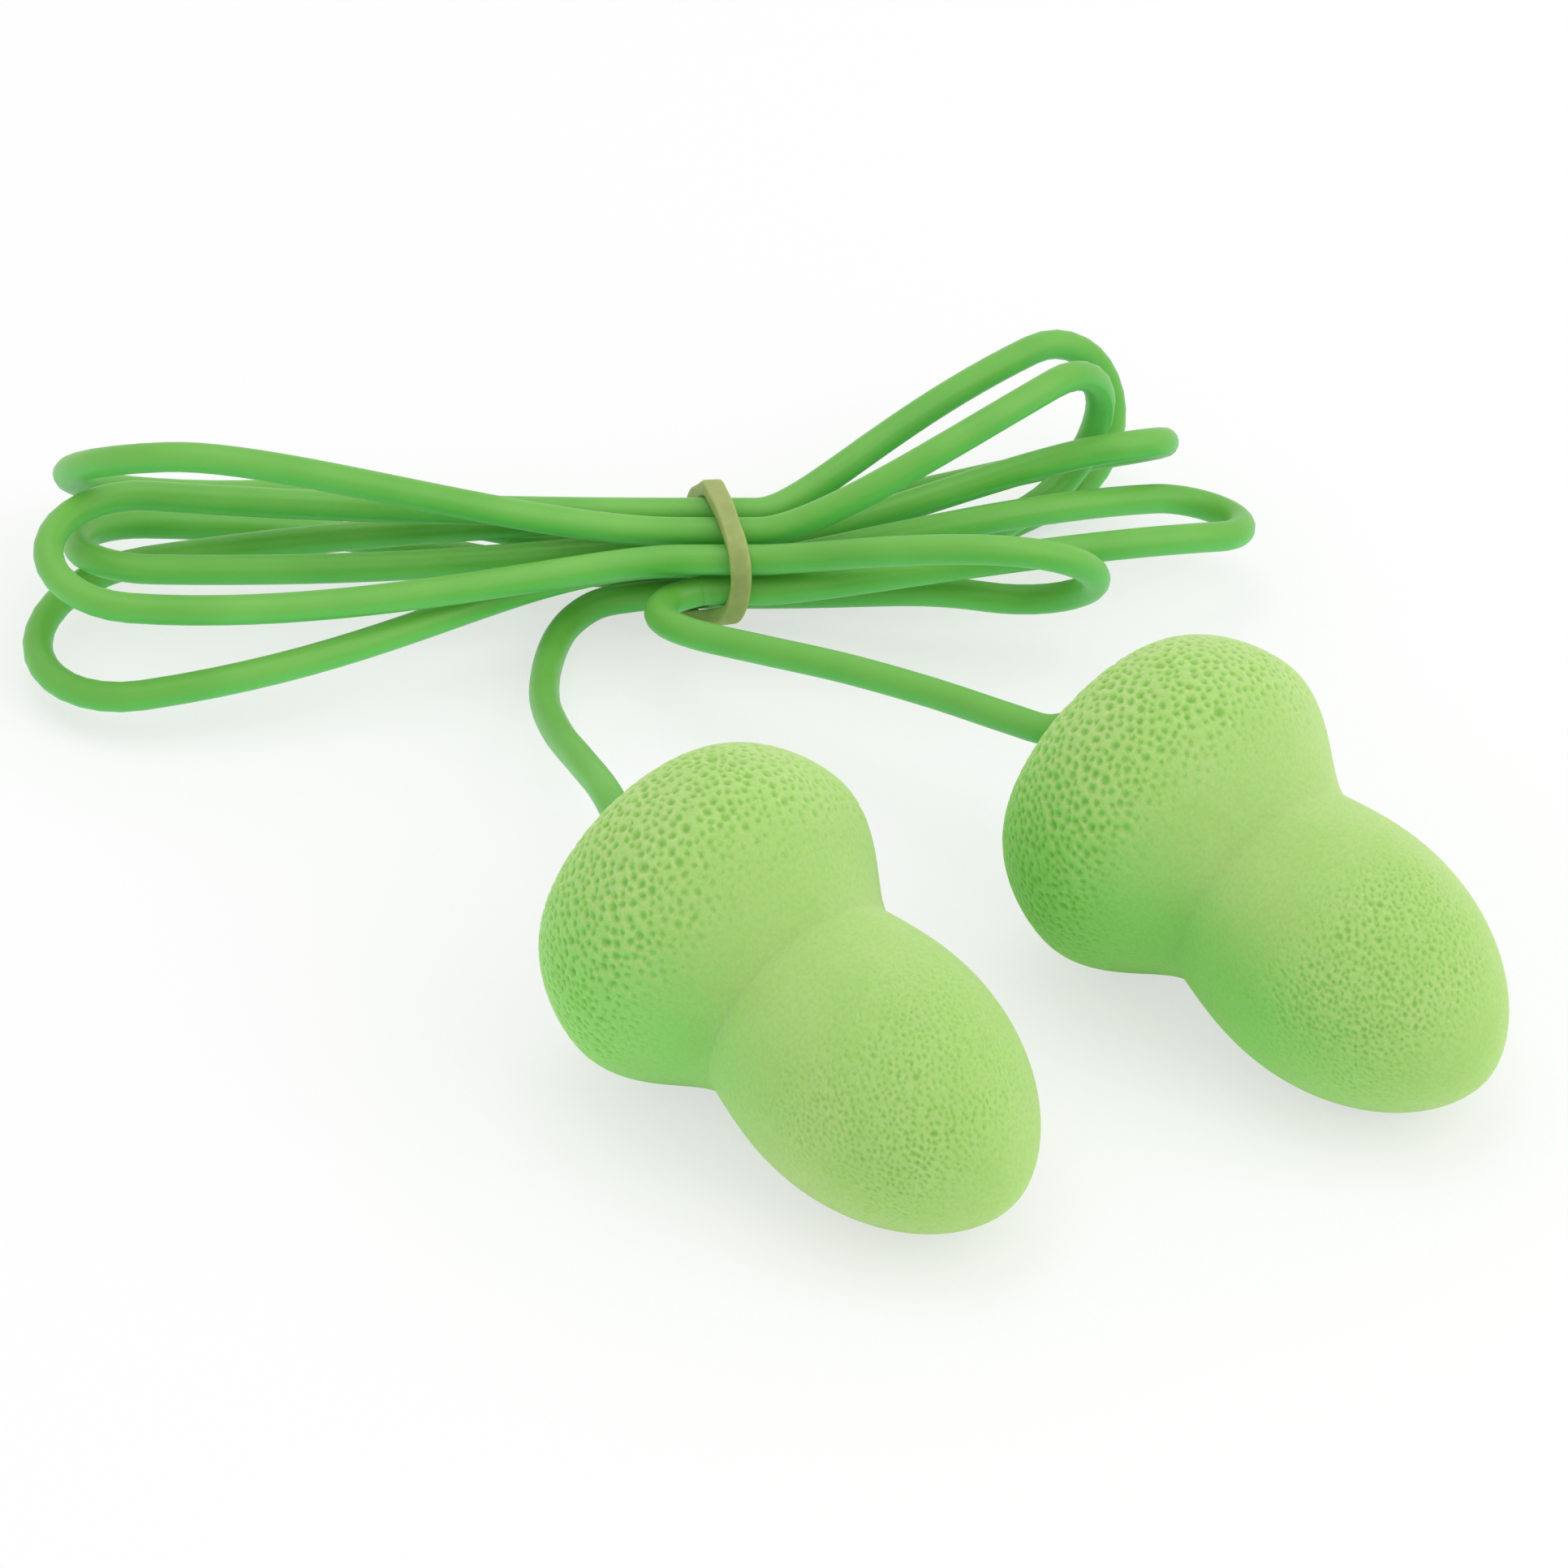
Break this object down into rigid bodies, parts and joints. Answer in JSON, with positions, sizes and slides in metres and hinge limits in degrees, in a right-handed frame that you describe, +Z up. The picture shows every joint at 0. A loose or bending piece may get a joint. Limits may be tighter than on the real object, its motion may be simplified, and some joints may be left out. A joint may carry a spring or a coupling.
{
  "type": "corded foam ear plugs",
  "caption": "Bell-shaped foam ear plugs joined by a soft cord that is folded into a hank, held at its waist by a rubber band; the bulbs seat in the ear canals to block noise.",
  "frame": {"origin": "on the table, under the middle of the box of the two foam plugs, with cord and rubber band left out", "axes": "+Z up from the table, +X to the right along the hank as pictured, +Y from the plugs towards the hank, away from the camera"},
  "size_m": [0.071, 0.0621, 0.0171],
  "materials": {
    "foam": "soft open-pored polyurethane foam with a thin moulded skin, pale green",
    "cord": "satin soft plastic cord, mid green",
    "bond": "clear set adhesive",
    "band": "matte natural latex"
  },
  "bodies": {
    "hank": {"cord_hank": "cord"},
    "band": {"rubber_band": "band"},
    "left": {"left_plug": "foam", "left_bond": "bond", "left_lead": "cord"},
    "right": {"right_plug": "foam", "right_bond": "bond", "right_lead": "cord"}
  },
  "joints": [
    {"name": "band_slide", "type": "slide", "parent": "hank", "child": "band", "axis": [1, 0, 0], "range_m": [-0.0008, 0.0004]},
    {"name": "left_swing", "type": "hinge", "parent": "hank", "child": "left", "pos_m": [-0.022, 0.0295, 0.0015], "axis": [0, 0, 1], "range_deg": [-40, 4], "deforming": ["left_lead"]},
    {"name": "right_swing", "type": "hinge", "parent": "hank", "child": "right", "pos_m": [-0.0135, 0.024, 0.0055], "axis": [0, 0, 1], "range_deg": [-4, 30], "deforming": ["right_lead"]}
  ]
}
